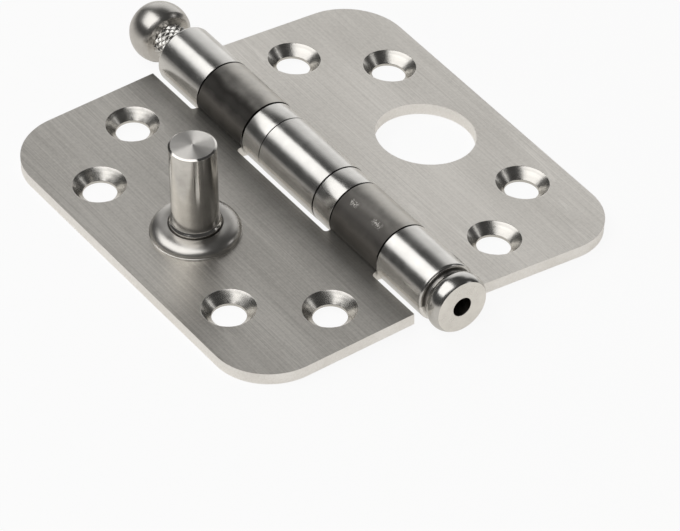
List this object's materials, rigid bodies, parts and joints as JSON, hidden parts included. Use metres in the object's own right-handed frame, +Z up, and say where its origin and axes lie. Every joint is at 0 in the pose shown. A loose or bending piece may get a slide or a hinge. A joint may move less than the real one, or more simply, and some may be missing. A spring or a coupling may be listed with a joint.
{
  "type": "ball bearing hinge",
  "caption": "Butt hinge with rounded leaves, countersunk screw holes, a ball bearing barrel with a loose pin, and a security stud that enters a hole in the other leaf.",
  "frame": {"origin": "on the ground under the middle of the hinge's whole box, with the hinge lying open as a low tent on its barrel and outer edges", "axes": "+Y along the hinge line towards the pin's head; +X from the hinge line towards the leaf with the large hole; +Z up, the side of the countersinks"},
  "size_m": [0.0888, 0.1068, 0.0252],
  "materials": {
    "leaf_steel": "brushed stainless, lines along the hinge line",
    "turned_steel": "turned stainless, satin",
    "polished_steel": "polished stainless",
    "bearing_steel": "ground and polished",
    "cage_brass": "bright"
  },
  "bodies": {
    "hole_side": {"hole_leaf": "leaf_steel", "pin_tip": "polished_steel", "upper_bearing_cup": "polished_steel", "lower_bearing_cup": "polished_steel"},
    "stud_side": {"stud_leaf": "leaf_steel", "security_stud": "turned_steel", "upper_load_race": "bearing_steel", "lower_load_race": "bearing_steel"},
    "pin": {"hinge_pin": "polished_steel"},
    "upper_ball_set": {"upper_ball_cage": "cage_brass", "upper_ball_1": "bearing_steel", "upper_ball_2": "bearing_steel", "upper_ball_3": "bearing_steel", "upper_ball_4": "bearing_steel", "upper_ball_5": "bearing_steel", "upper_ball_6": "bearing_steel", "upper_ball_7": "bearing_steel", "upper_ball_8": "bearing_steel"},
    "lower_ball_set": {"lower_ball_cage": "cage_brass", "lower_ball_1": "bearing_steel", "lower_ball_2": "bearing_steel", "lower_ball_3": "bearing_steel", "lower_ball_4": "bearing_steel", "lower_ball_5": "bearing_steel", "lower_ball_6": "bearing_steel", "lower_ball_7": "bearing_steel", "lower_ball_8": "bearing_steel"}
  },
  "joints": [
    {"name": "leaf_fold", "type": "hinge", "parent": "hole_side", "child": "stud_side", "pos_m": [0, 0, 0.00635], "axis": [0, 1, 0], "range_deg": [-112, 186.07]},
    {"name": "pin_slide", "type": "slide", "parent": "hole_side", "child": "pin", "axis": [0, 1, 0], "range_m": [-0.0055, 0.085]},
    {"name": "upper_balls_turn", "type": "hinge", "parent": "hole_side", "child": "upper_ball_set", "pos_m": [0, 0, 0.00635], "axis": [0, 1, 0], "range_deg": [-56.5, 93.53]},
    {"name": "lower_balls_turn", "type": "hinge", "parent": "hole_side", "child": "lower_ball_set", "pos_m": [0, 0, 0.00635], "axis": [0, 1, 0], "range_deg": [-56.5, 93.53]}
  ],
  "couplings": [
    {"joint": "upper_balls_turn", "follows": "leaf_fold", "ratio": 0.5},
    {"joint": "lower_balls_turn", "follows": "leaf_fold", "ratio": 0.5}
  ]
}
